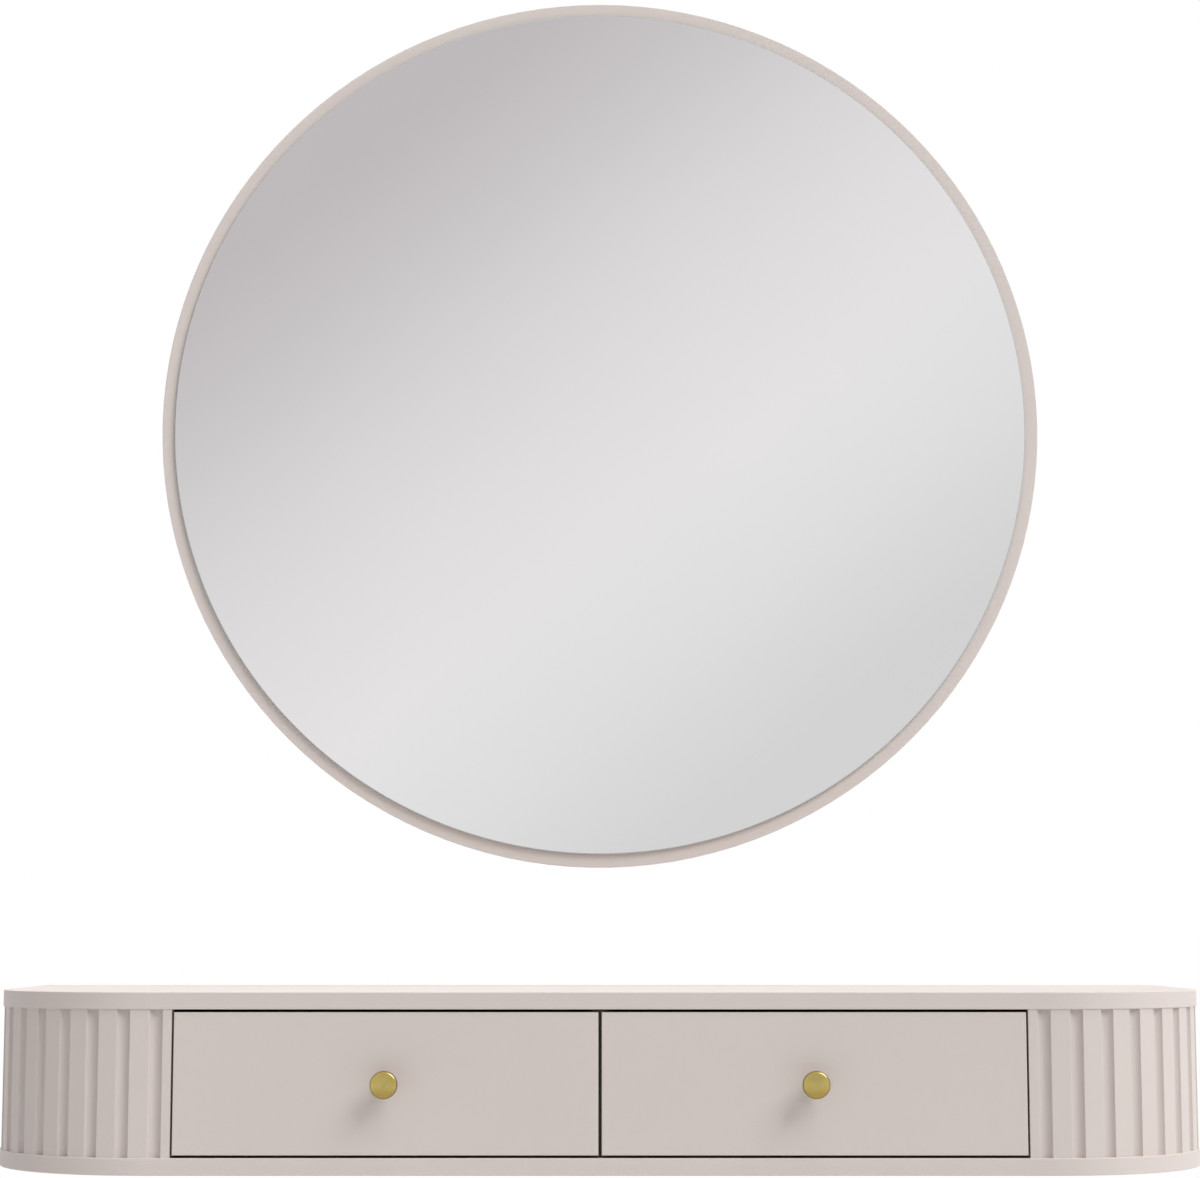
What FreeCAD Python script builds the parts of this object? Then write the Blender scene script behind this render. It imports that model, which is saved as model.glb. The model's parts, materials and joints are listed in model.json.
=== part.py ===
import FreeCAD, Part
import math
import os

# Wall-hung dressing table: a shallow two-drawer cabinet with fluted round ends, and a round mirror above it.
# Millimetres. x runs to the right, y into the wall and z up. The wall is the plane y = 0.
# The origin is the middle of the cabinet's back.

# Cabinet envelope
body_width = 1100.0
body_depth = 355.0
body_height = 158.0
corner_radius = 153.0
edge_round = 0.8

# Carcass boards
top_thickness = 15.0
bottom_thickness = 15.0
side_thickness = 15.0
divider_thickness = 15.0
back_thickness = 12.0
back_play = 0.3

# Fluted ends: flat ridges with round-bottomed flutes between them
ridge_setback = 1.0
end_flat = 22.7
fluted_thickness = 12.0
first_ridge = 7.9
flute_pitch = 28.8
flute_width = 11.7
flute_depth = 4.8
ridge_round = 0.4

# Drawer fronts and the shadow gaps around them
front_thickness = 15.0
gap_over_front = 2.4
gap_under_front = 2.3
gap_beside_front = 1.8
gap_between_fronts = 2.9
bumper_thickness = 2.0
bumper_radius = 2.2
bumper_edge_inset = 3.0
bumper_inset = 17.0

# Drawer boxes
drawer_side_thickness = 12.0
drawer_back_thickness = 12.0
drawer_bottom_thickness = 5.0
drawer_floor_gap = 12.0
drawer_headroom = 26.0
drawer_rear_gap = 27.0
groove_height = 8.0
groove_depth = 6.0
groove_play = 0.2

# Telescopic ball runners, three nested steel channels each
runner_width = 12.7
runner_height = 35.0
runner_steel = 1.2
runner_play = 0.4
runner_rise = 15.0
runner_front_gap = 2.0
lip_step = 1.6
bend_round = 0.9
runner_screw_inset = 40.0
runner_screw_stagger = 16.0

# Knobs
knob_head_radius = 12.0
knob_head_length = 8.5
knob_neck_radius = 5.5
knob_projection = 27.0
knob_edge_round = 2.2
knob_crown = 0.4
knob_cove = 2.5

# Fasteners, the holes that take them and how far a cut runs past a face
hole_play = 0.05
blind_play = 0.5
blind_cover = 5.0
cut_over = 1.0
pan_round_share = 0.4
dowel_radius = 3.0
dowel_length = 30.0
dowel_inset = 45.0
back_dowel_inset = 60.0
back_dowel_spread = 240.0
cam_inset = 80.0
cam_radius = 7.5
cam_reach = 34.0
drawer_cam_radius = 6.0
drawer_cam_reach = 24.0
cam_floor = 1.0
cam_slot_play = 0.3
cam_cross_length = 7.0
cam_cross_width = 1.4
cam_cross_depth = 1.5
bolt_thread_radius = 3.0
bolt_stem_radius = 2.5
bolt_head_radius = 3.3
bolt_head_length = 4.0
bolt_bore_radius = 4.0
confirmat_head_radius = 5.0
confirmat_head_height = 3.0
confirmat_shank_radius = 3.5
confirmat_thread_radius = 2.5
confirmat_length = 48.0
confirmat_hex_radius = 2.0
confirmat_hex_depth = 2.0
back_screw_radius = 2.0
back_screw_head_radius = 4.0
back_screw_head_height = 2.2
back_screw_length = 38.0
back_screw_inset = 29.0
box_screw_radius = 1.7
box_screw_head_radius = 3.4
box_screw_head_height = 1.9
box_screw_length = 30.0
bottom_screw_inset = 60.0
runner_screw_radius = 1.7
runner_screw_head_radius = 3.3
runner_screw_head_height = 2.0
runner_screw_cover = 2.5
joint_edge = 12.0
knob_screw_radius = 2.0
knob_screw_play = 0.3
knob_screw_head_radius = 4.0
knob_screw_head_height = 2.4
knob_screw_bite = 9.0
cross_length = 4.4
cross_width = 1.0
cross_depth = 1.2

# Holes in the back for the wall screws
wall_hole_radius = 3.0
wall_hole_spread = 400.0
wall_hole_inset = 24.0

# Mirror and its hanging cleat
mirror_diameter = 890.0
mirror_lift = 116.5
mirror_rim = 12.9
mirror_board_thickness = 15.0
mirror_board_round = 0.6
glass_thickness = 3.0
glass_round = 0.6
tape_thickness = 1.0
tape_width = 25.0
tape_length = 480.0
tape_pitch = 130.0
tape_strips = 5
cleat_rise = 190.0
cleat_length = 300.0
cleat_steel = 1.6
cleat_throat = 2.0
cleat_play = 0.2
cleat_lip = 12.0
cleat_base = 18.0
cleat_front_room = 1.3
recess_margin = 10.0
cleat_screw_radius = 2.0
cleat_screw_head_radius = 3.6
cleat_screw_head_height = 1.8
cleat_screw_cover = 2.0
cleat_screw_pitch = 75.0
cleat_screw_count = 4
cleat_hole_radius = 2.5
cleat_hole_spread = 200.0

# Places worked out from the sizes above
half_width = body_width / 2
z_top = body_height / 2
z_underside = -body_height / 2
z_ceiling = z_top - top_thickness
z_floor = z_underside + bottom_thickness
inner_height = z_ceiling - z_floor
top_grip = top_thickness - blind_cover
bottom_grip = bottom_thickness - blind_cover
y_edge = -body_depth
y_face = y_edge + ridge_setback
y_behind_front = y_face + front_thickness
y_back = -back_thickness
x_round = half_width - corner_radius
y_round = y_edge + corner_radius
x_opening = x_round - end_flat
x_side_middle = x_opening + side_thickness / 2
x_back_end = half_width - ridge_setback - fluted_thickness - back_play
y_side_front = y_face + fluted_thickness
y_divider_front = y_behind_front + bumper_thickness
ridge_radius = corner_radius - ridge_setback
curve_length = ridge_radius * math.pi / 2
ridge_line_length = end_flat + curve_length - y_round

z_front_low = z_floor + gap_under_front
z_front_high = z_ceiling - gap_over_front
z_front_middle = (z_front_low + z_front_high) / 2
z_box_low = z_floor + drawer_floor_gap
z_box_high = z_ceiling - drawer_headroom
y_box_end = y_back - drawer_rear_gap
z_groove = z_box_low + groove_height
z_tray = z_groove + drawer_bottom_thickness
z_upper_joint = z_box_high - joint_edge
z_lower_joint = z_tray + joint_edge
z_cam_joint = (z_upper_joint + z_lower_joint) / 2
front_grip = front_thickness - blind_cover

z_rail = z_box_low + runner_rise + runner_height / 2
runner_screw_bite = drawer_side_thickness - runner_screw_cover
y_rail_front = y_behind_front + runner_front_gap
runner_length = y_box_end - y_rail_front
middle_inset = runner_steel + runner_screw_head_height + runner_play
middle_reach = runner_width - runner_steel - runner_play
middle_height = runner_height - 2 * (runner_steel + runner_play)
drawer_rail_height = middle_height - 2 * (runner_steel + runner_play)

mirror_radius = mirror_diameter / 2
z_mirror = z_top + mirror_lift + mirror_radius
z_cleat = z_mirror + cleat_rise
recess_depth = 2 * cleat_steel + cleat_throat + cleat_front_room
z_hook = z_cleat + cleat_lip + cleat_play
cleat_screw_bite = mirror_board_thickness - recess_depth - cleat_screw_cover

Vector = FreeCAD.Vector
RIGHT = Vector(1, 0, 0)
BACK = Vector(0, 1, 0)
FRONT = Vector(0, -1, 0)
UP = Vector(0, 0, 1)
DOWN = Vector(0, 0, -1)
ORIGIN = Vector(0, 0, 0)


def save(name, solids):
    """Write one node; several solids stay separate pieces of the same node."""
    shape = solids[0] if len(solids) == 1 else Part.makeCompound(solids)
    shape.exportStep("parts/" + name + ".step")


def block(x_ends, y_ends, z_ends):
    """Square block between two places on each axis, given in either order."""
    corner = Vector(min(x_ends), min(y_ends), min(z_ends))
    return Part.makeBox(
        abs(x_ends[1] - x_ends[0]), abs(y_ends[1] - y_ends[0]), abs(z_ends[1] - z_ends[0]), corner
    )


def rod(radius, start, direction, length):
    """Round rod from a point along a direction."""
    return Part.makeCylinder(radius, length, start, direction)


def joined(shapes):
    """One solid from pieces that touch."""
    return shapes[0].multiFuse(shapes[1:]).removeSplitter().Solids[0]


def without(solid, tools):
    """The solid with holes, slots or grooves taken out."""
    return solid.cut(tools).Solids[0]


def mirrored(solid):
    """The same piece on the other side of the cabinet."""
    return solid.mirror(ORIGIN, RIGHT)


def extruded(edges, travel):
    """Solid from a closed outline pushed along a direction."""
    return Part.Face(Part.Wire(edges)).extrude(travel)


def polygon(points):
    """Closed outline of straight edges."""
    return Part.makePolygon(points + points[:1]).Edges


def softened(solid, radius, wanted):
    """The solid with a small round along the edges that the test picks."""
    return solid.makeFillet(radius, [edge for edge in solid.Edges if wanted(edge)])


def runs_along(edge, direction):
    """Whether an edge is straight and parallel to a direction."""
    first = edge.Vertexes[0].Point
    last = edge.Vertexes[-1].Point
    return edge.Length > 0 and abs((last - first).dot(direction)) > edge.Length * 0.9999


def cross_slot(length, width, depth, centre, inward):
    """Cross recess of a screw head or cam, sunk from a face along a direction."""
    across = FreeCAD.Rotation(UP, inward)
    bars = []
    for x_size, y_size in ((length, width), (width, length)):
        bar = Part.makeBox(x_size, y_size, depth, Vector(-x_size / 2, -y_size / 2, 0))
        bar.Placement = FreeCAD.Placement(centre, across)
        bars.append(bar)
    return bars[0].fuse(bars[1])


def countersunk_screw(radius, head_radius, head_height, length, start, direction, play=0.0):
    """Cross-headed screw, flush with the face at its start. Play makes the hole that takes it."""
    head = Part.makeCone(head_radius + play, radius + play, head_height, start, direction)
    shank = rod(radius + play, start, direction, length + (blind_play if play else 0))
    screw = joined([head, shank])
    if play:
        return screw
    return without(screw, [cross_slot(cross_length, cross_width, cross_depth, start, direction)])


def pan_screw(radius, head_radius, head_height, length, seat, direction):
    """Cross-headed screw whose round head stands on the face at its seat."""
    crown = seat - direction * head_height
    head = rod(head_radius, seat, direction * -1, head_height)
    crown_round = head_height * pan_round_share
    head = softened(head, crown_round, lambda edge: edge.CenterOfMass.isEqual(crown, crown_round / 10))
    screw = joined([head, rod(radius, seat, direction, length)])
    return without(screw, [cross_slot(cross_length, cross_width, cross_depth, crown, direction)])


# Top and bottom boards

def board_outline(z):
    """Plan of the top and bottom boards: square at the wall, round at the front corners."""
    diagonal = corner_radius * math.sqrt(0.5)
    wall_right = Vector(half_width, 0, z)
    side_right = Vector(half_width, y_round, z)
    bend_right = Vector(x_round + diagonal, y_round - diagonal, z)
    front_right = Vector(x_round, y_edge, z)
    wall_left = Vector(-half_width, 0, z)
    side_left = Vector(-half_width, y_round, z)
    bend_left = Vector(-x_round - diagonal, y_round - diagonal, z)
    front_left = Vector(-x_round, y_edge, z)
    return [
        Part.makeLine(wall_right, side_right),
        Part.Arc(side_right, bend_right, front_right).toShape(),
        Part.makeLine(front_right, front_left),
        Part.Arc(front_left, bend_left, side_left).toShape(),
        Part.makeLine(side_left, wall_left),
        Part.makeLine(wall_left, wall_right),
    ]


def rounded_board(z, thickness, holes):
    """Top or bottom board with softened edges, except along the wall."""
    board = extruded(board_outline(z), UP * thickness)
    board = softened(board, edge_round, lambda edge: (
        abs(edge.BoundBox.ZLength) < edge_round / 10 and edge.CenterOfMass.y < -edge_round))
    return without(board, holes)


# Fluted ends

def ridge_line(distance):
    """Point on the ridge faces of the right end and its outward direction, from the drawer to the wall."""
    if distance <= end_flat:
        return Vector(x_opening + distance, y_face, z_floor), FRONT
    along = distance - end_flat
    if along <= curve_length:
        turn = along / ridge_radius
        outward = Vector(math.sin(turn), -math.cos(turn), 0)
        return Vector(x_round, y_round, z_floor) + outward * ridge_radius, outward
    return Vector(half_width - ridge_setback, y_round + along - curve_length, z_floor), RIGHT


def ridge_spans():
    """Start and end of each flat ridge along the ridge line."""
    flutes = int((ridge_line_length - 2 * first_ridge - flute_width) / flute_pitch) + 1
    starts = [0.0]
    ends = []
    for flute in range(flutes):
        ends.append(first_ridge + flute * flute_pitch)
        starts.append(ends[-1] + flute_width)
    ends.append(ridge_line_length)
    return list(zip(starts, ends))


def fluted_outline():
    """Plan of the right end: ridges and flutes outside, a smooth face inside."""
    spans = ridge_spans()
    edges = []
    for index, (start, end) in enumerate(spans):
        last = ridge_line(end)[0]
        edges.append(Part.makeLine(ridge_line(start)[0], last))
        if index + 1 < len(spans):
            next_start = spans[index + 1][0]
            following = ridge_line(next_start)[0]
            outward = ridge_line((end + next_start) / 2)[1]
            deepest = (last + following) * 0.5 - outward * flute_depth
            edges.append(Part.Arc(last, deepest, following).toShape())
    inner_radius = ridge_radius - fluted_thickness
    diagonal = inner_radius * math.sqrt(0.5)
    wall_outside = ridge_line(ridge_line_length)[0]
    wall_inside = wall_outside - RIGHT * fluted_thickness
    side_inside = Vector(wall_inside.x, y_round, z_floor)
    bend_inside = Vector(x_round + diagonal, y_round - diagonal, z_floor)
    front_inside = Vector(x_round, y_side_front, z_floor)
    drawer_inside = Vector(x_opening, y_side_front, z_floor)
    edges.append(Part.makeLine(wall_outside, wall_inside))
    edges.append(Part.makeLine(wall_inside, side_inside))
    edges.append(Part.Arc(side_inside, bend_inside, front_inside).toShape())
    edges.append(Part.makeLine(front_inside, drawer_inside))
    edges.append(Part.makeLine(drawer_inside, ridge_line(0.0)[0]))
    return edges


def fluted_end(holes):
    """Right fluted end: one grooved board bent round the corner, with softened ridges."""
    spans = ridge_spans()
    corners = [ridge_line(end)[0] for start, end in spans[:-1]]
    corners += [ridge_line(start)[0] for start, end in spans[1:]]

    def on_ridge(edge):
        foot = Vector(edge.CenterOfMass.x, edge.CenterOfMass.y, z_floor)
        return runs_along(edge, UP) and any(foot.isEqual(corner, ridge_round / 10) for corner in corners)

    end = extruded(fluted_outline(), UP * inner_height)
    return without(softened(end, ridge_round, on_ridge), holes)


# Carcass fasteners

def upright_boards():
    """Middle, front edge and thickness of the three upright boards."""
    return [
        (-x_side_middle, y_side_front, side_thickness),
        (0.0, y_divider_front, divider_thickness),
        (x_side_middle, y_side_front, side_thickness),
    ]


def dowel_spots():
    """Plan places of the dowels that join uprights, back and fluted ends to the top and bottom."""
    spots = []
    for x, y_front, thickness in upright_boards():
        spots.append(Vector(x, y_front + dowel_inset, 0))
        spots.append(Vector(x, y_back - dowel_inset, 0))
    for x in (x_back_end - back_dowel_inset, back_dowel_spread / 2):
        spots.append(Vector(x, y_back / 2, 0))
        spots.append(Vector(-x, y_back / 2, 0))
    spans = ridge_spans()
    for start, end in (spans[1], spans[len(spans) // 2], spans[-2]):
        face, outward = ridge_line((start + end) / 2)
        middle = face - outward * (fluted_thickness / 2)
        spots.append(Vector(middle.x, middle.y, 0))
        spots.append(Vector(-middle.x, middle.y, 0))
    return spots


def carcass_dowels(radius, play):
    """Dowels at the top and bottom of every upright piece. Play lengthens them into their holes."""
    dowels = []
    for spot in dowel_spots():
        top_end = Vector(spot.x, spot.y, z_ceiling + top_grip + play)
        bottom_end = Vector(spot.x, spot.y, z_floor - bottom_grip - play)
        dowels.append(rod(radius, top_end, DOWN, dowel_length + 2 * play))
        dowels.append(rod(radius, bottom_end, UP, dowel_length + 2 * play))
    return dowels


def cam_bolt(seat, inward, grip, reach):
    """Bolt screwed into one board at its seat, with a stem that reaches back to the cam's middle."""
    thread = rod(bolt_thread_radius, seat, inward, grip)
    stem = rod(bolt_stem_radius, seat, inward * -1, reach)
    head_start = seat - inward * (reach - bolt_head_length / 2)
    head = rod(bolt_head_radius, head_start, inward * -1, bolt_head_length)
    return joined([thread, stem, head])


def cam_bolt_hole(seat, inward, grip, reach):
    """Threaded hole for the bolt in one board, and the wider bore for its stem in the other."""
    thread = rod(bolt_thread_radius + hole_play, seat, inward, grip + blind_play)
    bore = rod(bolt_bore_radius, seat, inward * -1, reach)
    return joined([thread, bore])


def cam_depth(thickness):
    """Depth of a cam that reaches past a bolt in the middle of a board."""
    return thickness / 2 + bolt_head_radius + cam_floor


def cam(radius, thickness, face, inward, to_bolt):
    """Round cam with a slot for the bolt's head and a cross recess in its face."""
    depth = cam_depth(thickness)
    body = rod(radius - hole_play, face, inward, depth)
    half_slot = bolt_head_radius + cam_slot_play
    slot_start = face + inward * (thickness / 2 - half_slot)
    sideways = inward.cross(to_bolt) * half_slot
    back_end = to_bolt * -bolt_head_length
    front_end = to_bolt * (radius + cut_over)
    corners = [
        slot_start + sideways + back_end,
        slot_start + sideways + front_end,
        slot_start - sideways + front_end,
        slot_start - sideways + back_end,
    ]
    slot = extruded(polygon(corners), inward * depth)
    cross = cross_slot(cam_cross_length, cam_cross_width, cam_cross_depth, face, inward)
    return without(body, [slot, cross])


def carcass_cam_joints():
    """Cams, bolts and holes that draw the uprights up to the top board."""
    cams = []
    bolts = []
    holes = []
    z_cam = z_ceiling - cam_reach
    for x, y_front, thickness in upright_boards():
        front_facing = -1.0 if x > 0 else 1.0
        rear_facing = -front_facing if x == 0 else front_facing
        for y, facing in ((y_front + cam_inset, front_facing), (y_back - cam_inset, rear_facing)):
            face = Vector(x + facing * thickness / 2, y, z_cam)
            inward = RIGHT * -facing
            seat = Vector(x, y, z_ceiling)
            cams.append(cam(cam_radius, thickness, face, inward, UP))
            bolts.append(cam_bolt(seat, UP, top_grip, cam_reach))
            holes.append(cam_bolt_hole(seat, UP, top_grip, cam_reach))
            holes.append(rod(cam_radius, face, inward, cam_depth(thickness) + hole_play))
    return cams, bolts, holes


def confirmat(x, y, play=0.0):
    """Connecting screw from below: flush head, plain shank in the bottom board, thread in the upright."""
    start = Vector(x, y, z_underside)
    shank_length = bottom_thickness
    head = Part.makeCone(
        confirmat_head_radius + play, confirmat_shank_radius + play, confirmat_head_height, start, UP
    )
    shank = rod(confirmat_shank_radius + play, start, UP, shank_length)
    thread_length = confirmat_length - shank_length + (blind_play if play else 0)
    thread = rod(confirmat_thread_radius + play, start + UP * shank_length, UP, thread_length)
    return joined([head, shank, thread])


def confirmat_spots():
    """Plan places of the screws under the uprights."""
    spots = []
    for x, y_front, thickness in upright_boards():
        spots.append((x, y_front + cam_inset))
        spots.append((x, y_back - cam_inset))
    return spots


def socket_headed(screw, x, y):
    """The connecting screw with its hexagon socket."""
    corners = []
    for corner in range(6):
        angle = corner * math.pi / 3
        across = Vector(math.cos(angle), math.sin(angle), 0) * confirmat_hex_radius
        corners.append(Vector(x, y, z_underside) + across)
    return without(screw, [extruded(polygon(corners), UP * confirmat_hex_depth)])


def back_screws(play=0.0):
    """Flush screws through the back into the rear edges of the uprights."""
    screws = []
    for x, y_front, thickness in upright_boards():
        for z in (z_floor + back_screw_inset, z_ceiling - back_screw_inset):
            screws.append(countersunk_screw(
                back_screw_radius, back_screw_head_radius, back_screw_head_height, back_screw_length,
                Vector(x, 0, z), FRONT, play
            ))
    return screws


def wall_holes():
    """Four plain holes in the back for the screws into the wall."""
    holes = []
    for x in (-wall_hole_spread / 2, wall_hole_spread / 2):
        for z in (z_floor + wall_hole_inset, z_ceiling - wall_hole_inset):
            start = Vector(x, y_back - cut_over, z)
            holes.append(rod(wall_hole_radius, start, BACK, back_thickness + 2 * cut_over))
    return holes


# Runners

def channel(wall_x, facing, near, far, height, web_far):
    """Steel channel standing between two distances from a wall, with its web on the near or far side."""
    half = height / 2
    inner_half = half - runner_steel
    inner_near = near - cut_over if web_far else near + runner_steel
    inner_far = far - runner_steel if web_far else far + cut_over
    y_ends = (y_rail_front, y_rail_front + runner_length)
    x_ends = (wall_x + facing * near, wall_x + facing * far)
    inner_x_ends = (wall_x + facing * inner_near, wall_x + facing * inner_far)
    outer = block(x_ends, y_ends, (z_rail - half, z_rail + half))
    inner = block(inner_x_ends, y_ends, (z_rail - inner_half, z_rail + inner_half))
    x_web = x_ends[1] if web_far else x_ends[0]

    def on_bend(edge):
        middle = edge.CenterOfMass
        near_web = abs(middle.x - x_web) < bend_round / 10
        at_corner = near_web and abs(abs(middle.z - z_rail) - half) < bend_round / 10
        return at_corner and runs_along(edge, BACK)

    return softened(outer.cut(inner).Solids[0], bend_round, on_bend)


def runner_screw_places(facing):
    """Distances into the wall where a runner is screwed; the two hands are staggered."""
    stagger = runner_screw_stagger if facing < 0 else 0.0
    front = y_rail_front + runner_screw_inset + stagger
    rear = y_rail_front + runner_length - runner_screw_inset - runner_screw_stagger + stagger
    return (front, rear)


def runner_screws(x_seat, facing, direction):
    """Pan-head screws through the web of a channel."""
    screws = []
    for y in runner_screw_places(facing):
        screws.append(pan_screw(
            runner_screw_radius, runner_screw_head_radius, runner_screw_head_height,
            runner_steel + runner_screw_bite, Vector(x_seat, y, z_rail), direction
        ))
    return screws


def runner_screw_holes(x_seat, facing, direction):
    """Holes for those screws, through the web and into the board behind it."""
    holes = []
    for y in runner_screw_places(facing):
        length = runner_steel + runner_screw_bite + blind_play
        holes.append(rod(runner_screw_radius + hole_play, Vector(x_seat, y, z_rail), direction, length))
    return holes


def runner(wall_x, facing):
    """Cabinet, middle and drawer channels of one runner with both sets of screws and their holes."""
    to_drawer = RIGHT * facing
    to_wall = RIGHT * -facing
    cabinet_seat = wall_x + facing * runner_steel
    drawer_seat = wall_x + facing * (runner_width - runner_steel)
    cabinet_holes = runner_screw_holes(cabinet_seat, facing, to_wall)
    drawer_holes = runner_screw_holes(drawer_seat, facing, to_drawer)
    cabinet_rail = channel(wall_x, facing, 0.0, middle_reach - lip_step, runner_height, False)
    middle_rail = channel(wall_x, facing, middle_inset, middle_reach, middle_height, False)
    drawer_near = middle_inset + runner_steel + runner_play
    drawer_rail = channel(wall_x, facing, drawer_near, runner_width, drawer_rail_height, True)
    return {
        "cabinet_rail": without(cabinet_rail, cabinet_holes),
        "middle_rail": middle_rail,
        "drawer_rail": without(drawer_rail, drawer_holes),
        "cabinet_screws": runner_screws(cabinet_seat, facing, to_wall),
        "drawer_screws": runner_screws(drawer_seat, facing, to_drawer),
        "cabinet_holes": cabinet_holes,
        "drawer_holes": drawer_holes,
    }


# Drawers

def knob(x, z):
    """Turned knob: a narrow neck, a cove under the head, a rounded edge and a slightly crowned face."""
    def spot(radius, height):
        return Vector(x + radius, y_face - height, z)

    diagonal = math.sqrt(0.5)
    head_start = knob_projection - knob_head_length
    face_edge = knob_projection - knob_crown
    face_radius = knob_head_radius - knob_edge_round
    round_start = face_edge - knob_edge_round
    points = [
        spot(0.0, 0.0),
        spot(knob_neck_radius, 0.0),
        spot(knob_neck_radius, head_start - knob_cove),
        spot(knob_neck_radius + knob_cove, head_start),
        spot(knob_head_radius, head_start),
        spot(knob_head_radius, round_start),
        spot(face_radius, face_edge),
        spot(0.0, knob_projection),
    ]
    cove_dip = knob_cove * (1 - diagonal)
    cove_middle = spot(knob_neck_radius + cove_dip, head_start - cove_dip)
    round_middle = spot(face_radius + knob_edge_round * diagonal, round_start + knob_edge_round * diagonal)
    crown_radius = (face_radius ** 2 + knob_crown ** 2) / (2 * knob_crown)
    half_turn = math.asin(face_radius / crown_radius) / 2
    crown_drop = crown_radius * (1 - math.cos(half_turn))
    crown_middle = spot(crown_radius * math.sin(half_turn), knob_projection - crown_drop)

    edges = polygon(points)
    edges[2] = Part.Arc(points[2], cove_middle, points[3]).toShape()
    edges[5] = Part.Arc(points[5], round_middle, points[6]).toShape()
    edges[6] = Part.Arc(points[6], crown_middle, points[7]).toShape()
    body = Part.Face(Part.Wire(edges)).revolve(points[0], BACK, 360)
    hole = rod(knob_screw_radius + hole_play, points[0], FRONT, knob_screw_bite + blind_play)
    return without(body, [hole])


def knob_screw(x, z):
    """Machine screw from inside the drawer into the knob."""
    return pan_screw(
        knob_screw_radius, knob_screw_head_radius, knob_screw_head_height,
        front_thickness + knob_screw_bite, Vector(x, y_behind_front, z), FRONT
    )


def front_dowels(x, radius, play):
    """Dowels from the front into the end of a drawer side."""
    start_y = y_behind_front - front_grip - play
    length = dowel_length + 2 * play
    return [rod(radius, Vector(x, start_y, z), BACK, length) for z in (z_upper_joint, z_lower_joint)]


def box_screw(start, direction, play=0.0):
    """Small flush screw of a drawer box, or its hole."""
    return countersunk_screw(
        box_screw_radius, box_screw_head_radius, box_screw_head_height, box_screw_length,
        start, direction, play
    )


def box_screw_places(x_low, x_high):
    """Start and direction of the screws into a drawer's back, through both sides and the bottom."""
    y = y_box_end - drawer_back_thickness / 2
    x_inner_low = x_low + drawer_side_thickness
    x_inner_high = x_high - drawer_side_thickness
    places = []
    for z in (z_upper_joint, z_lower_joint):
        places.append((Vector(x_low, y, z), RIGHT))
        places.append((Vector(x_high, y, z), RIGHT * -1))
    for x in (x_inner_low + bottom_screw_inset, x_inner_high - bottom_screw_inset):
        places.append((Vector(x, y, z_groove), UP))
    return places


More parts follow.
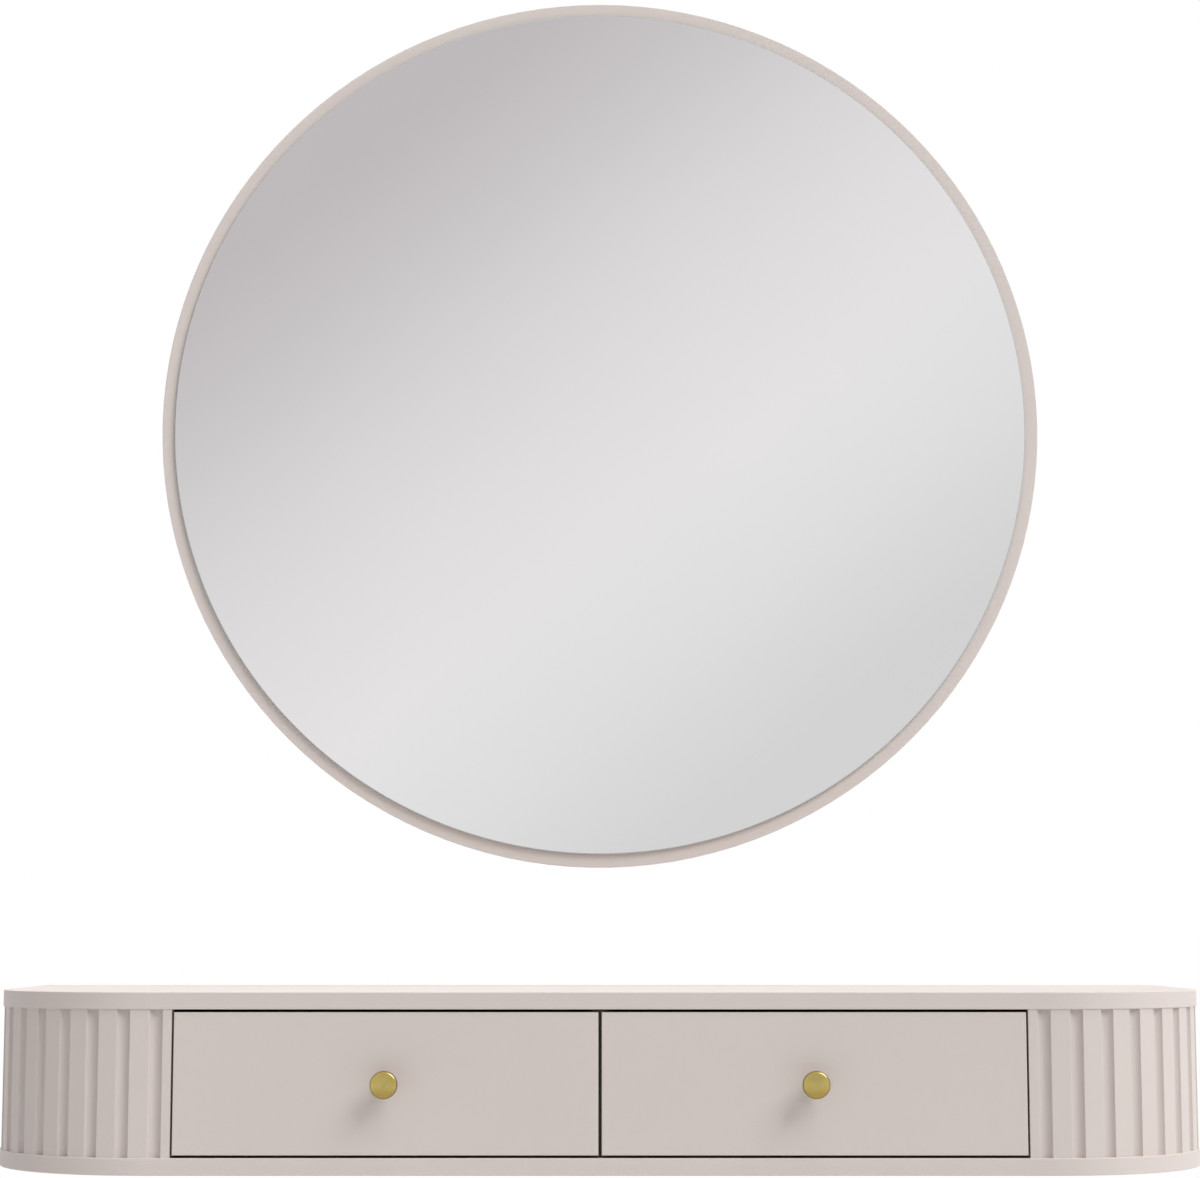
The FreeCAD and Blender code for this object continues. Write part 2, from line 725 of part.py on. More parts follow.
def drawer(name, bay, front_ends, left_runner, right_runner):
    """All the pieces of one drawer, written under its name."""
    x_low = bay[0] + runner_width
    x_high = bay[1] - runner_width
    inner_low = x_low + drawer_side_thickness
    inner_high = x_high - drawer_side_thickness
    knob_x = (front_ends[0] + front_ends[1]) / 2
    side_middles = (x_low + drawer_side_thickness / 2, x_high - drawer_side_thickness / 2)

    bottom_ends = (inner_low - groove_depth + groove_play, inner_high + groove_depth - groove_play)
    bottom_front = y_behind_front - groove_depth + groove_play
    groove = block(
        (inner_low - groove_depth, inner_high + groove_depth),
        (y_behind_front - groove_depth, y_box_end),
        (z_groove, z_tray + groove_play),
    )
    dowel_holes = []
    dowels = []
    for x in side_middles:
        dowels += front_dowels(x, dowel_radius, 0.0)
        dowel_holes += front_dowels(x, dowel_radius + hole_play, blind_play)
    screw_places = box_screw_places(x_low, x_high)
    screws = [box_screw(start, direction) for start, direction in screw_places]
    screw_holes = [box_screw(start, direction, hole_play) for start, direction in screw_places]

    cams = []
    bolts = []
    cam_holes = []
    y_cam = y_behind_front + drawer_cam_reach
    for x, face_x, inward in ((side_middles[0], inner_low, RIGHT * -1), (side_middles[1], inner_high, RIGHT)):
        face = Vector(face_x, y_cam, z_cam_joint)
        seat = Vector(x, y_behind_front, z_cam_joint)
        cams.append(cam(drawer_cam_radius, drawer_side_thickness, face, inward, FRONT))
        bolts.append(cam_bolt(seat, FRONT, front_grip, drawer_cam_reach))
        cam_holes.append(cam_bolt_hole(seat, FRONT, front_grip, drawer_cam_reach))
        cam_holes.append(rod(drawer_cam_radius, face, inward, cam_depth(drawer_side_thickness) + hole_play))

    front = block(front_ends, (y_face, y_behind_front), (z_front_low, z_front_high))
    front = softened(front, edge_round, lambda edge: edge.CenterOfMass.y < y_face + edge_round / 10)
    knob_seat = Vector(knob_x, y_behind_front, z_front_middle)
    knob_hole = rod(knob_screw_radius + knob_screw_play, knob_seat, FRONT, front_thickness)
    box_z = (z_box_low, z_box_high)
    box_y = (y_behind_front, y_box_end)
    back_y = (y_box_end - drawer_back_thickness, y_box_end)
    left_side = block((x_low, inner_low), box_y, box_z)
    right_side = block((inner_high, x_high), box_y, box_z)
    box_back = block((inner_low, inner_high), back_y, (z_tray, z_box_high))
    bottom = block(bottom_ends, (bottom_front, y_box_end), (z_groove, z_tray))

    joint_holes = dowel_holes + cam_holes
    save(name + "_front", [without(front, joint_holes + [groove, knob_hole])])
    left_holes = joint_holes + screw_holes + left_runner["drawer_holes"] + [groove]
    save(name + "_left_side", [without(left_side, left_holes)])
    right_holes = joint_holes + screw_holes + right_runner["drawer_holes"] + [groove]
    save(name + "_right_side", [without(right_side, right_holes)])
    save(name + "_back", [without(box_back, screw_holes)])
    save(name + "_bottom", [without(bottom, screw_holes)])
    save(name + "_knob", [knob(knob_x, z_front_middle)])
    save(name + "_knob_screw", [knob_screw(knob_x, z_front_middle)])
    save(name + "_dowels", dowels)
    save(name + "_cams", cams)
    save(name + "_cam_bolts", bolts)
    save(name + "_box_screws", screws)
    save(name + "_left_rail", [left_runner["drawer_rail"]])
    save(name + "_right_rail", [right_runner["drawer_rail"]])
    save(name + "_rail_screws", left_runner["drawer_screws"] + right_runner["drawer_screws"])


def bumpers():
    """Soft pads on the divider's front edge that the closed drawer fronts rest against."""
    pads = []
    x_pad = divider_thickness / 2 - bumper_edge_inset
    for x in (-x_pad, x_pad):
        for z in (z_front_low + bumper_inset, z_front_high - bumper_inset):
            pads.append(rod(bumper_radius, Vector(x, y_behind_front, z), BACK, bumper_thickness))
    return pads


# Cabinet

def cabinet():
    """Carcass boards, their fasteners, the runners and both drawers."""
    dowel_holes = carcass_dowels(dowel_radius + hole_play, blind_play)
    cams, cam_bolts, cam_holes = carcass_cam_joints()
    confirmat_holes = [confirmat(x, y, hole_play) for x, y in confirmat_spots()]
    back_screw_holes = back_screws(hole_play)
    bays = {
        "left": (-x_opening, -divider_thickness / 2),
        "right": (divider_thickness / 2, x_opening),
    }
    fronts = {
        "left": (gap_beside_front - x_opening, -gap_between_fronts / 2),
        "right": (gap_between_fronts / 2, x_opening - gap_beside_front),
    }
    runner_holes = []
    cabinet_screws = []
    for side, bay in bays.items():
        left_runner = runner(bay[0], 1.0)
        right_runner = runner(bay[1], -1.0)
        for hand, set_of_rails in (("left", left_runner), ("right", right_runner)):
            runner_holes += set_of_rails["cabinet_holes"]
            cabinet_screws += set_of_rails["cabinet_screws"]
            save(side + "_bay_" + hand + "_rail", [set_of_rails["cabinet_rail"]])
            save(side + "_bay_" + hand + "_middle_rail", [set_of_rails["middle_rail"]])
        drawer(side + "_drawer", bay, fronts[side], left_runner, right_runner)

    panel_holes = dowel_holes + cam_holes + confirmat_holes
    upright_holes = panel_holes + back_screw_holes + runner_holes
    upright_z = (z_floor, z_ceiling)
    side = block((x_opening, x_opening + side_thickness), (y_side_front, y_back), upright_z)
    divider = block((-divider_thickness / 2, divider_thickness / 2), (y_divider_front, y_back), upright_z)
    back = block((-x_back_end, x_back_end), (y_back, 0), upright_z)
    save("top_panel", [rounded_board(z_ceiling, top_thickness, panel_holes)])
    save("bottom_panel", [rounded_board(z_underside, bottom_thickness, panel_holes)])
    save("left_inner_side", [without(mirrored(side), upright_holes)])
    save("right_inner_side", [without(side, upright_holes)])
    save("centre_divider", [without(divider, upright_holes)])
    save("back_panel", [without(back, dowel_holes + back_screw_holes + wall_holes())])
    right_end = fluted_end(dowel_holes)
    save("right_fluted_end", [right_end])
    save("left_fluted_end", [mirrored(right_end)])
    save("carcass_dowels", carcass_dowels(dowel_radius, 0.0))
    save("carcass_cams", cams)
    save("carcass_cam_bolts", cam_bolts)
    save("confirmat_screws", [socket_headed(confirmat(x, y), x, y) for x, y in confirmat_spots()])
    save("back_panel_screws", back_screws())
    save("cabinet_rail_screws", cabinet_screws)
    save("drawer_bumpers", bumpers())


# Mirror

def disc(radius, y_front, thickness, front_round):
    """Upright disc with a softened front edge."""
    body = rod(radius, Vector(0, y_front, z_mirror), BACK, thickness)
    return softened(body, front_round, lambda edge: (
        edge.BoundBox.YLength < front_round / 10 and edge.BoundBox.YMin < y_front + front_round / 10))


def cleat_solid(profile, holes):
    """Cleat extruded along x from its profile of (y, z) corners, with holes."""
    points = [Vector(-cleat_length / 2, y, z) for y, z in profile]
    return without(extruded(polygon(points), RIGHT * cleat_length), holes)


def wall_cleat():
    """Hooked strip on the wall that carries the mirror."""
    throat = cleat_steel + cleat_throat
    lip_face = throat + cleat_steel
    shelf = z_cleat + cleat_steel
    profile = [
        (0, z_cleat - cleat_base),
        (0, shelf),
        (-throat, shelf),
        (-throat, z_cleat + cleat_lip),
        (-lip_face, z_cleat + cleat_lip),
        (-lip_face, z_cleat),
        (-cleat_steel, z_cleat),
        (-cleat_steel, z_cleat - cleat_base),
    ]
    holes = []
    for x in (-cleat_hole_spread / 2, cleat_hole_spread / 2):
        start = Vector(x, cut_over, z_cleat - cleat_base / 2)
        holes.append(rod(cleat_hole_radius, start, FRONT, cleat_steel + 2 * cut_over))
    return cleat_solid(profile, holes)


def cleat_screw_places():
    """Seats of the screws through the mirror's own cleat."""
    first = -cleat_screw_pitch * (cleat_screw_count - 1) / 2
    y = cleat_steel - recess_depth
    z = z_hook + cleat_steel + cleat_base / 2
    return [Vector(first + index * cleat_screw_pitch, y, z) for index in range(cleat_screw_count)]


def cleat_screw_holes():
    """Holes for those screws, through the cleat and into the board."""
    length = cleat_steel + cleat_screw_bite + blind_play
    return [rod(cleat_screw_radius + hole_play, seat, FRONT, length) for seat in cleat_screw_places()]


def mirror_cleat():
    """Hooked strip on the back of the mirror, its tongue down behind the lip of the wall strip."""
    tongue_front = cleat_play - cleat_steel - cleat_throat
    tongue_back = tongue_front + cleat_steel
    base_back = cleat_steel - recess_depth
    base_high = z_hook + cleat_steel + cleat_base
    profile = [
        (tongue_front, z_cleat + cleat_steel),
        (tongue_front, z_hook),
        (-recess_depth, z_hook),
        (-recess_depth, base_high),
        (base_back, base_high),
        (base_back, z_hook + cleat_steel),
        (tongue_back, z_hook + cleat_steel),
        (tongue_back, z_cleat + cleat_steel),
    ]
    return cleat_solid(profile, cleat_screw_holes())


def mirror_board():
    """Round painted board behind the glass, with a recess in its back for the cleats."""
    board = disc(mirror_radius, -mirror_board_thickness, mirror_board_thickness, mirror_board_round)
    half_recess = cleat_length / 2 + recess_margin
    recess_low = z_cleat - cleat_base - cleat_lip - recess_margin
    recess_high = z_hook + cleat_steel + cleat_base + recess_margin
    recess = block((-half_recess, half_recess), (-recess_depth, cut_over), (recess_low, recess_high))
    return without(board, [recess] + cleat_screw_holes())


def mirror_tape():
    """Strips of foam tape that hold the glass to the board."""
    strips = []
    first = -tape_pitch * (tape_strips - 1) / 2
    y_ends = (-mirror_board_thickness - tape_thickness, -mirror_board_thickness)
    z_ends = (z_mirror - tape_length / 2, z_mirror + tape_length / 2)
    for index in range(tape_strips):
        middle = first + index * tape_pitch
        strips.append(block((middle - tape_width / 2, middle + tape_width / 2), y_ends, z_ends))
    return strips


def mirror():
    """Mirror glass, its board and what holds them to each other and to the wall."""
    glass_front = -mirror_board_thickness - tape_thickness - glass_thickness
    save("mirror_board", [mirror_board()])
    save("mirror_tape", mirror_tape())
    save("mirror_glass", [disc(mirror_radius - mirror_rim, glass_front, glass_thickness, glass_round)])
    save("mirror_cleat", [mirror_cleat()])
    save("wall_cleat", [wall_cleat()])
    screws = []
    for seat in cleat_screw_places():
        screws.append(pan_screw(
            cleat_screw_radius, cleat_screw_head_radius, cleat_screw_head_height,
            cleat_steel + cleat_screw_bite, seat, FRONT
        ))
    save("cleat_screws", screws)


os.makedirs("parts", exist_ok=True)
cabinet()
mirror()
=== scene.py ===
import json
import math

import bpy
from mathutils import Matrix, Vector


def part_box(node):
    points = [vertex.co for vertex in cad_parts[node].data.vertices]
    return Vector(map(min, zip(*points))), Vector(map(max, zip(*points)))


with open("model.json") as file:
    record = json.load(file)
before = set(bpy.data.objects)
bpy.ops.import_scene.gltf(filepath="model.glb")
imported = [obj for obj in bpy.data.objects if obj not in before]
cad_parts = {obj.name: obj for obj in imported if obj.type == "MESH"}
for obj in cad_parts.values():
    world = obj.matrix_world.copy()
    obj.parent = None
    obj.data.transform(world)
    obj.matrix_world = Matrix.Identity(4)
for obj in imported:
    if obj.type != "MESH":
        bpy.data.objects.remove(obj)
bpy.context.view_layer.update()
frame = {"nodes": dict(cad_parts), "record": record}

nodes = frame["nodes"]

# Camera, matched to the edges of the boards and to the mirror's circle
camera_place = Vector((0.0, -2.8662, 0.12875))
camera_pitch = math.radians(6.935)
camera_lens = 85.3
camera_sensor = 36.0

# Studio: the floor lies at the height where such a table hangs
hanging_height = 0.75
floor_radius = 6.0
floor_clear_radius = 1.2
floor_segments = 96
floor_glow = 0.6

# Light: a lamp's share is what it adds to a white surface that faces it
ambient_strength = 0.445
key_direction = Vector((1.1, -1.0, 1.42))
key_distance = 100.0
key_size = 55.0
key_share = 0.598
side_direction = Vector((1.0, -0.035, 0.1))
side_distance = 96.0
side_size = 32.0
side_share = 0.217
top_direction = Vector((0.1, -0.04, 1.0))
top_distance = 28.0
top_size = 12.0
top_share = 0.517

# Card behind the camera that the mirror shows, and the grade across it from upper left to lower right
card_distance = 6.0
card_clear_radius = 1.5
card_segments = 64
grade_steepness = 1.25
grade_share = 1.4
grade_stops = (
    (0.0, (0.58, 0.548, 0.556, 1.0)),
    (0.27, (0.726, 0.706, 0.714, 1.0)),
    (0.58, (0.856, 0.833, 0.843, 1.0)),
    (0.8, (0.815, 0.812, 0.812, 1.0)),
    (1.0, (0.73, 0.726, 0.726, 1.0)),
)

# Zones on the knobs and on the glass, in metres
# The knob zones mark painted reflections: a browner outer edge for the reflected cabinet front, a warmer
# tone lower on the face for what it reflects below.
knob_painted_edge_reflection_start = 0.0014
knob_painted_edge_reflection_end = 0.0002
knob_painted_reflection_below_start = 0.001
knob_painted_reflection_below_end = 0.0078
glass_edge_start = 0.0012
glass_edge_end = 0.0009
glass_skin_start = 0.0003
glass_skin_end = 0.001

# Colours as red, green and blue from 0 to 255. A pair is the darker and the lighter tone of one material.
cabinet_paint = (205, 195, 190)
# The rim's lacquer is the cabinet's lacquer made lighter: partly its own lighter tone, partly painted light
# that offsets the shade the proud glass casts on the rim.
rim_paint = (215, 205, 200)
# The carcass board is given a dark tone as painted shade, so that the gaps round the drawers show dark.
carcass_painted_shade_tones = (132, 126, 121), (142, 136, 131)
drawer_tones = (222, 216, 210), (228, 222, 217)
tray_tones = (216, 210, 203), (224, 218, 212)
beech_tones = (196, 158, 118), (222, 188, 148)
beech_fleck = (168, 124, 88)
brass_tones = (182, 163, 92), (190, 171, 100)
# The next two brass tones are painted reflections on the knob: a warmer tone lower on its face and a browner
# outer edge.
brass_painted_reflection_below = (167, 142, 72)
brass_painted_edge_reflection = (128, 104, 62)
zinc_tones = (186, 188, 191), (205, 207, 209)
glass_edge_front = (184, 186, 184)
glass_edge_back = (160, 165, 162)
tape_tones = (40, 40, 41), (58, 58, 59)
pad_tones = (200, 200, 196), (214, 214, 210)

# Scene-linear colours
white = (1.0, 1.0, 1.0, 1.0)
black = (0.0, 0.0, 0.0, 1.0)
silver_tones = (0.885, 0.89, 0.89, 1.0), (0.90, 0.90, 0.90, 1.0)
floor_tones = (0.69, 0.69, 0.69, 1.0), (0.71, 0.71, 0.71, 1.0)

# Patches of printed grain per metre along x, y and z
carcass_grain = (14.0, 14.0, 160.0)
drawer_grain = (160.0, 10.0, 160.0)
tray_grain = (10.0, 160.0, 160.0)

# Limits between which most values of a noise lie
noise_low = 0.3
noise_high = 0.7

# Rays that show the studio as it looks, not as it lights
seen_rays = ("Is Camera Ray", "Is Glossy Ray", "Is Transmission Ray")

# Places read from the frame
cabinet_low, cabinet_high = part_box("top_panel")
knob_low, knob_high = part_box("right_drawer_knob")
glass_low, glass_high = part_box("mirror_glass")
z_floor = cabinet_high.z - hanging_height
knob_x = (knob_low.x + knob_high.x) / 2
knob_z = (knob_low.z + knob_high.z) / 2
knob_radius = (knob_high.x - knob_low.x) / 2
glass_radius = (glass_high.x - glass_low.x) / 2
glass_z = (glass_low.z + glass_high.z) / 2

# The mirror's reflection of the card: its middle, and how far the grade reaches. The card ends at the floor.
glass_away = glass_low.y - camera_place.y
card_away = glass_low.y + card_distance
card_middle = glass_z + (glass_z - camera_place.z) * card_away / glass_away
card_radius = card_middle - z_floor
grade_reach = grade_share * glass_radius * (1 + card_away / glass_away)


def linear(colour, step=0):
    """Scene-linear colour from values of 0 to 255, each raised by a step, by the sRGB curve."""
    def one(value):
        share = (value + step) / 255
        return share / 12.92 if share <= 0.04045 else ((share + 0.055) / 1.055) ** 2.4

    red, green, blue = colour
    return (one(red), one(green), one(blue), 1.0)


def add(tree, kind, **inputs):
    """New node with some of its inputs set by name."""
    made = tree.nodes.new(kind)
    for name, value in inputs.items():
        made.inputs[name.replace("_", " ")].default_value = value
    return made


def surface(name):
    """New material: its tree, its shader and its object coordinates in metres."""
    made = bpy.data.materials.new(name)
    made.use_nodes = True
    tree = made.node_tree
    shader = tree.nodes["Principled BSDF"]
    place = add(tree, "ShaderNodeTexCoord").outputs["Object"]
    return made, tree, shader, place


def feed(tree, shader, **sources):
    """Drive a shader's inputs, by name, from sockets."""
    for name, source in sources.items():
        tree.links.new(source, shader.inputs[name.replace("_", " ")])


def mapped(tree, place, offset=(0.0, 0.0, 0.0), scale=(1.0, 1.0, 1.0)):
    """Coordinates scaled along each axis, then moved."""
    made = add(tree, "ShaderNodeMapping", Location=offset, Scale=scale)
    tree.links.new(place, made.inputs["Vector"])
    return made.outputs["Vector"]


def axes(tree, place):
    """The three coordinates by their letters."""
    made = add(tree, "ShaderNodeSeparateXYZ")
    tree.links.new(place, made.inputs["Vector"])
    return made.outputs


def length(tree, vector):
    """Length of a vector."""
    made = tree.nodes.new("ShaderNodeVectorMath")
    made.operation = "LENGTH"
    tree.links.new(vector, made.inputs[0])
    return made.outputs["Value"]


def reckoned(tree, operation, *values):
    """Result of a math node on one or two values."""
    made = tree.nodes.new("ShaderNodeMath")
    made.operation = operation
    for value, target in zip(values, made.inputs):
        tree.links.new(value, target)
    return made.outputs["Value"]


def noise(tree, place, scale, detail=2.0):
    """Noise from 0 to 1 with so many patches per metre."""
    made = add(tree, "ShaderNodeTexNoise", Scale=scale, Detail=detail)
    tree.links.new(place, made.inputs["Vector"])
    return made.outputs["Fac"]


def grained(tree, place, scale, detail):
    """Noise with its own number of patches per metre along each axis."""
    return noise(tree, mapped(tree, place, scale=scale), 1.0, detail)


def cells(tree, place, scale):
    """Distance to the nearest of so many points per metre."""
    made = add(tree, "ShaderNodeTexVoronoi", Scale=scale)
    tree.links.new(place, made.inputs["Vector"])
    return made.outputs["Distance"]


def ramp(tree, factor, *stops):
    """Colour ramp with (place, colour) stops."""
    made = tree.nodes.new("ShaderNodeValToRGB")
    tree.links.new(factor, made.inputs["Fac"])
    elements = made.color_ramp.elements
    while len(elements) < len(stops):
        elements.new(0.5)
    for element, (position, colour) in zip(elements, stops):
        element.position = position
        element.color = colour
    return made.outputs["Color"]


def shaded(tree, factor, dark, light, low=noise_low, high=noise_high):
    """From a dark to a light colour, by a value that runs between two limits."""
    return ramp(tree, factor, (low, dark), (high, light))


def ranged(tree, value, start, end, low=0.0, high=1.0, kind="LINEAR"):
    """A value brought from the limits start and end to the limits low and high."""
    made = add(tree, "ShaderNodeMapRange", From_Min=start, From_Max=end, To_Min=low, To_Max=high)
    made.interpolation_type = kind
    tree.links.new(value, made.inputs["Value"])
    return made.outputs["Result"]


def spread(tree, value, low, high):
    """A value of 0 to 1 spread between two limits."""
    return ranged(tree, value, 0.0, 1.0, low, high)


def mixed(tree, factor, first, second):
    """Two colours mixed by a value or a number."""
    made = tree.nodes.new("ShaderNodeMix")
    made.data_type = "RGBA"
    for socket, value in (("Factor_Float", factor), ("A_Color", first), ("B_Color", second)):
        target = next(s for s in made.inputs if s.identifier == socket)
        if isinstance(value, bpy.types.NodeSocket):
            tree.links.new(value, target)
        else:
            target.default_value = value
    return next(s for s in made.outputs if s.identifier == "Result_Color")


def mixed_shader(tree, factor, first, second):
    """Two shaders mixed by a value."""
    made = tree.nodes.new("ShaderNodeMixShader")
    for source, target in zip((factor, first, second), made.inputs):
        tree.links.new(source, target)
    return made.outputs["Shader"]


def bumped(tree, shader, height, distance):
    """Fine relief of so many metres on a shader."""
    made = add(tree, "ShaderNodeBump", Distance=distance, Strength=1.0)
    tree.links.new(height, made.inputs["Height"])
    feed(tree, shader, Normal=made.outputs["Normal"])


def sprayed_paint(name, colour):
    """Satin furniture lacquer: faint clouding, a fine speckle and orange peel."""
    cloud_scale = 7.0
    cloud_step = 1
    speckle_scale = 900.0
    speckle_step = 2
    speckle_share = 0.3
    sheen_scale = 60.0
    peel_scale = 300.0
    peel_depth = 0.000008
    made, tree, shader, place = surface(name)
    clouds = shaded(
        tree, noise(tree, place, cloud_scale, 3.0),
        linear(colour, -cloud_step), linear(colour, cloud_step),
    )
    speckle = shaded(
        tree, noise(tree, place, speckle_scale),
        linear(colour, -speckle_step), linear(colour, speckle_step), 0.35, 0.65,
    )
    sheen = spread(tree, noise(tree, place, sheen_scale), 0.45, 0.53)
    feed(tree, shader, Base_Color=mixed(tree, speckle_share, clouds, speckle), Roughness=sheen)
    shader.inputs["Specular IOR Level"].default_value = 0.33
    bumped(tree, shader, noise(tree, place, peel_scale), peel_depth)
    return made


def melamine(name, tones, grain):
    """Melamine-faced board with a faint printed grain and a pearly relief."""
    pearl_scale = 1400.0
    pearl_depth = 0.00004
    dark, light = tones
    made, tree, shader, place = surface(name)
    lines = grained(tree, place, grain, 4.0)
    print_colour = shaded(tree, lines, linear(dark), linear(light))
    feed(tree, shader, Base_Color=print_colour, Roughness=spread(tree, lines, 0.5, 0.62))
    shader.inputs["Specular IOR Level"].default_value = 0.3
    bumped(tree, shader, noise(tree, place, pearl_scale), pearl_depth)
    return made


def beech():
    """Beech dowel: pale lengthwise grain with short dark flecks."""
    grain_scale = (900.0, 900.0, 90.0)
    grain_depth = 0.00008
    fleck_scale = (2600.0, 2600.0, 320.0)
    dark, light = beech_tones
    made, tree, shader, place = surface("beech")
    grain = grained(tree, place, grain_scale, 4.0)
    wood = shaded(tree, grain, linear(dark), linear(light))
    flecks = shaded(tree, grained(tree, place, fleck_scale, 2.0), black, white, 0.62, 0.72)
    flecked = mixed(tree, flecks, wood, linear(beech_fleck))
    feed(tree, shader, Base_Color=flecked, Roughness=spread(tree, grain, 0.55, 0.7))
    bumped(tree, shader, grain, grain_depth)
    return made


def knob_rings(tree, coordinates):
    """Distance from the axis of the nearer knob, and noise in rings round that axis."""
    ring_scale = 9000.0
    joined = tree.nodes.new("ShaderNodeCombineXYZ")
    feed(tree, joined, X=reckoned(tree, "ABSOLUTE", coordinates["X"]), Z=coordinates["Z"])
    away = length(tree, mapped(tree, joined.outputs["Vector"], (-knob_x, 0.0, -knob_z)))
    made = add(tree, "ShaderNodeTexNoise", Scale=ring_scale, Detail=1.0)
    made.noise_dimensions = "1D"
    tree.links.new(away, made.inputs["W"])
    return away, made.outputs["Fac"]


def turned_brass():
    """Satin brass under clear lacquer with fine turning rings; a warmer tone lower on the face and a browner
    outer edge are painted reflections.
    """
    tarnish_scale = 160.0
    ring_depth = 0.000006
    dark, light = brass_tones
    made, tree, shader, place = surface("turned_brass")
    coordinates = axes(tree, place)
    away, rings = knob_rings(tree, coordinates)
    gold = shaded(tree, noise(tree, place, tarnish_scale, 3.0), linear(dark), linear(light))
    # Painted reflections: warmer lower on the face and browner at the outer edge, standing for what the real
    # knob reflects below it and of the cabinet front.
    below = ranged(tree, coordinates["Z"], knob_z - knob_painted_reflection_below_start, knob_z - knob_painted_reflection_below_end)
    edge = ranged(tree, away, knob_radius - knob_painted_edge_reflection_start, knob_radius - knob_painted_edge_reflection_end)
    gold_with_painted_reflection_below = mixed(tree, below, gold, linear(brass_painted_reflection_below))
    gold_with_painted_reflections = mixed(tree, edge, gold_with_painted_reflection_below, linear(brass_painted_edge_reflection))
    feed(tree, shader, Base_Color=gold_with_painted_reflections, Roughness=spread(tree, rings, 0.16, 0.28))
    shader.inputs["Metallic"].default_value = 1.0
    shader.inputs["Coat Weight"].default_value = 0.4
    shader.inputs["Coat Roughness"].default_value = 0.12
    bumped(tree, shader, rings, ring_depth)
    return made


def zinc_steel():
    """Zinc-plated steel: faint spangle and rolling marks."""
    spangle_scale = 260.0
    mark_scale = (900.0, 30.0, 900.0)
    mark_depth = 0.00001
    dark, light = zinc_tones
    made, tree, shader, place = surface("zinc_steel")
    grey = shaded(tree, cells(tree, place, spangle_scale), linear(dark), linear(light), 0.1, 0.7)
    marks = grained(tree, place, mark_scale, 3.0)
    feed(tree, shader, Base_Color=grey, Roughness=spread(tree, marks, 0.28, 0.42))
    shader.inputs["Metallic"].default_value = 1.0
    bumped(tree, shader, marks, mark_depth)
    return made


def silvered_glass():
    """Silvered mirror glass: a clean reflecting face and a clear, pale green polished edge."""
    cloud_scale = 4.0
    made, tree, shader, place = surface("silvered_glass")
    away = length(tree, mapped(tree, place, (0.0, 0.0, -glass_z), (1.0, 0.0, 1.0)))
    edge = ranged(tree, away, glass_radius - glass_edge_start, glass_radius - glass_edge_end)
    skin_start = glass_low.y + glass_skin_start
    skin_end = glass_low.y + glass_skin_end
    depth = ranged(tree, axes(tree, place)["Y"], skin_start, skin_end)
    silver = shaded(tree, noise(tree, place, cloud_scale), *silver_tones)
    polished = mixed(tree, depth, linear(glass_edge_front), linear(glass_edge_back))
    feed(
        tree, shader,
        Base_Color=mixed(tree, edge, silver, polished),
        Metallic=spread(tree, edge, 1.0, 0.0),
        Roughness=spread(tree, edge, 0.015, 0.5),
    )
    shader.inputs["Specular IOR Level"].default_value = 0.2
    return made


def foam(name, tones):
    """Closed-cell foam or soft rubber with a pitted skin."""
    cell_scale = 1500.0
    cell_depth = 0.0001
    skin_scale = 300.0
    dark, light = tones
    made, tree, shader, place = surface(name)
    pits = cells(tree, place, cell_scale)
    colour = shaded(tree, pits, linear(dark), linear(light), 0.0, 0.7)
    skin = spread(tree, noise(tree, place, skin_scale), 0.7, 0.85)
    feed(tree, shader, Base_Color=colour, Roughness=skin)
    bumped(tree, shader, pits, cell_depth)
    return made


def dress(finishes):
    """Give each node the finish of its material slot."""
    for part in frame["record"]["subparts"]:
        mesh = nodes[part["node"]].data
        mesh.materials.clear()
        mesh.materials.append(finishes[part["material_slot"]])


def seen_share(tree):
    """1 for a ray that shows the studio as it looks, else 0."""
    path = tree.nodes.new("ShaderNodeLightPath")
    share = path.outputs[seen_rays[0]]
    for kind in seen_rays[1:]:
        share = reckoned(tree, "MAXIMUM", share, path.outputs[kind])
    return share


def studio_world():
    """White ground for what is seen, plain soft light for the surfaces."""
    world = bpy.data.worlds.new("studio")
    bpy.context.scene.world = world
    world.use_nodes = True
    tree = world.node_tree
    soft = tree.nodes["Background"]
    soft.inputs["Color"].default_value = white
    soft.inputs["Strength"].default_value = ambient_strength
    ground = add(tree, "ShaderNodeBackground", Color=white, Strength=1.0)
    both = mixed_shader(tree, seen_share(tree), soft.outputs["Background"], ground.outputs["Background"])
    tree.links.new(both, tree.nodes["World Output"].inputs["Surface"])


def disc(name, radius, segments, place_at):
    """Flat round sheet. place_at turns a pair of offsets into a point."""
    points = []
    for step in range(segments):
        angle = 2 * math.pi * step / segments
        points.append(place_at(radius * math.cos(angle), radius * math.sin(angle)))
    mesh = bpy.data.meshes.new(name)
    mesh.from_pydata(points, [], [list(range(segments))])
    made = bpy.data.objects.new(name, mesh)
    bpy.context.scene.collection.objects.link(made)
    return made


def floor():
    """Round pale floor below the table. It keeps the table's shadow and fades to white further out."""
    patch_scale = 3.0
    ground = disc("floor", floor_radius, floor_segments, lambda x, y: (x, y, z_floor))
    made, tree, shader, place = surface("pale_floor")
    feed(tree, shader, Base_Color=shaded(tree, noise(tree, place, patch_scale), *floor_tones))
    shader.inputs["Roughness"].default_value = 0.9
    away = length(tree, mapped(tree, place, scale=(1.0, 1.0, 0.0)))
    fade = ranged(tree, away, floor_clear_radius, floor_radius, floor_glow, 1.0, "SMOOTHSTEP")
    share = reckoned(tree, "MULTIPLY", seen_share(tree), fade)
    glow = add(tree, "ShaderNodeEmission", Color=white, Strength=1.0)
    both = mixed_shader(tree, share, shader.outputs["BSDF"], glow.outputs["Emission"])
    tree.links.new(both, tree.nodes["Material Output"].inputs["Surface"])
    ground.data.materials.append(made)


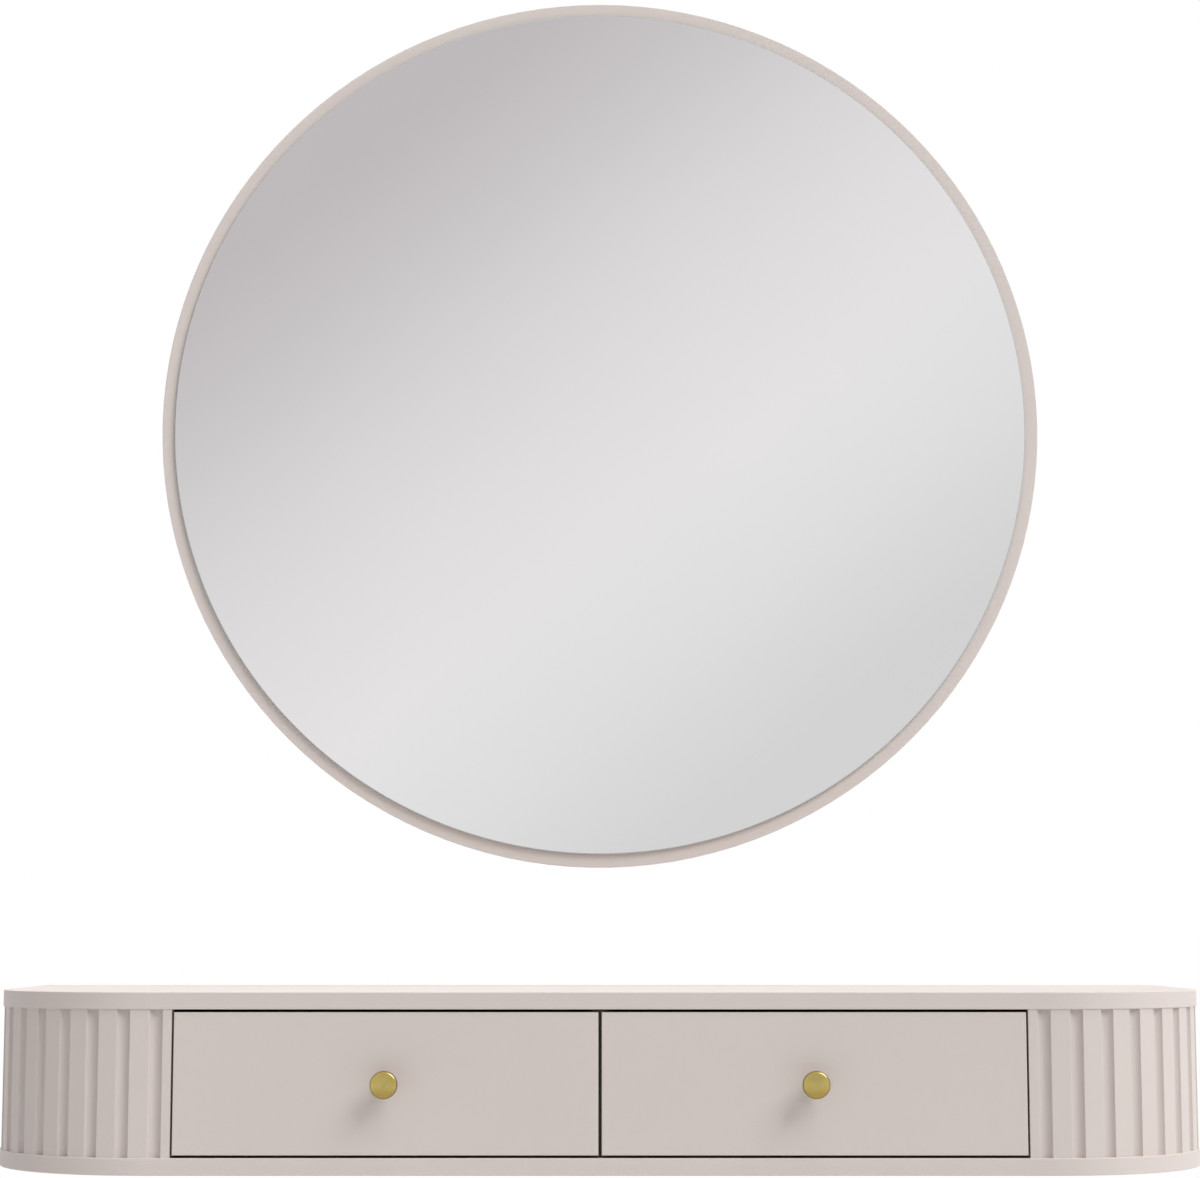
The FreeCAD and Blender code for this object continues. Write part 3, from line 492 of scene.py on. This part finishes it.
def card():
    """Graded card that only reflections show: darker at the upper left, white at its rim."""
    made = disc("card", card_radius, card_segments, lambda x, z: (x, -card_distance, card_middle + z))
    paint, tree, shader, place = surface("graded_card")
    centred = mapped(tree, place, (0.0, card_distance, -card_middle))
    slope = tree.nodes.new("ShaderNodeVectorMath")
    slope.operation = "DOT_PRODUCT"
    tree.links.new(centred, slope.inputs[0])
    slope.inputs[1].default_value = (1.0, 0.0, -grade_steepness)
    along = ranged(tree, slope.outputs["Value"], -grade_reach, grade_reach)
    grade = ramp(tree, along, *grade_stops)
    grade.node.color_ramp.interpolation = "CARDINAL"
    fade = ranged(tree, length(tree, centred), card_clear_radius, card_radius, kind="SMOOTHSTEP")
    glow = add(tree, "ShaderNodeEmission", Strength=1.0)
    feed(tree, glow, Color=mixed(tree, fade, grade, white))
    tree.links.new(glow.outputs["Emission"], tree.nodes["Material Output"].inputs["Surface"])
    tree.nodes.remove(shader)
    made.data.materials.append(paint)
    made.visible_camera = False
    made.visible_diffuse = False
    made.visible_shadow = False


def lamp(name, direction, distance, size, share):
    """Square soft box that faces the cabinet's front from a direction."""
    data = bpy.data.lights.new(name, "AREA")
    data.size = size
    data.energy = share * (math.pi * distance) ** 2
    made = bpy.data.objects.new(name, data)
    away = direction.normalized()
    made.location = Vector((0.0, cabinet_low.y, cabinet_high.z)) + away * distance
    made.rotation_euler = away.to_track_quat("Z", "Y").to_euler()
    bpy.context.scene.collection.objects.link(made)
    return made


def lights():
    """Key from the upper right, which alone makes highlights, and lights from the right and from above."""
    lamp("key", key_direction, key_distance, key_size, key_share)
    side = lamp("side", side_direction, side_distance, side_size, side_share)
    top = lamp("top", top_direction, top_distance, top_size, top_share)
    side.visible_glossy = False
    top.visible_glossy = False


def camera():
    """Camera at the photograph's viewing angle."""
    data = bpy.data.cameras.new("camera")
    data.sensor_width = camera_sensor
    data.lens = camera_lens
    made = bpy.data.objects.new("camera", data)
    made.location = camera_place
    made.rotation_euler = (math.pi / 2 + camera_pitch, 0.0, 0.0)
    bpy.context.scene.collection.objects.link(made)
    bpy.context.scene.camera = made


dress({
    "greige_paint": sprayed_paint("greige_lacquer", cabinet_paint),
    # Lighter rim lacquer: partly painted light against the glass's shade on the rim.
    "rim_paint": sprayed_paint("rim_lacquer_with_painted_light", rim_paint),
    "carcass_board": melamine("carcass_board", carcass_painted_shade_tones, carcass_grain),
    "drawer_board": melamine("drawer_board", drawer_tones, drawer_grain),
    "drawer_bottom_board": melamine("tray_board", tray_tones, tray_grain),
    "beech": beech(),
    "brass": turned_brass(),
    "zinc_steel": zinc_steel(),
    "mirror": silvered_glass(),
    "foam_tape": foam("foam_tape", tape_tones),
    "soft_pad": foam("soft_pad", pad_tones),
})
studio_world()
floor()
card()
lights()
camera()
bpy.context.scene.view_settings.view_transform = "Standard"
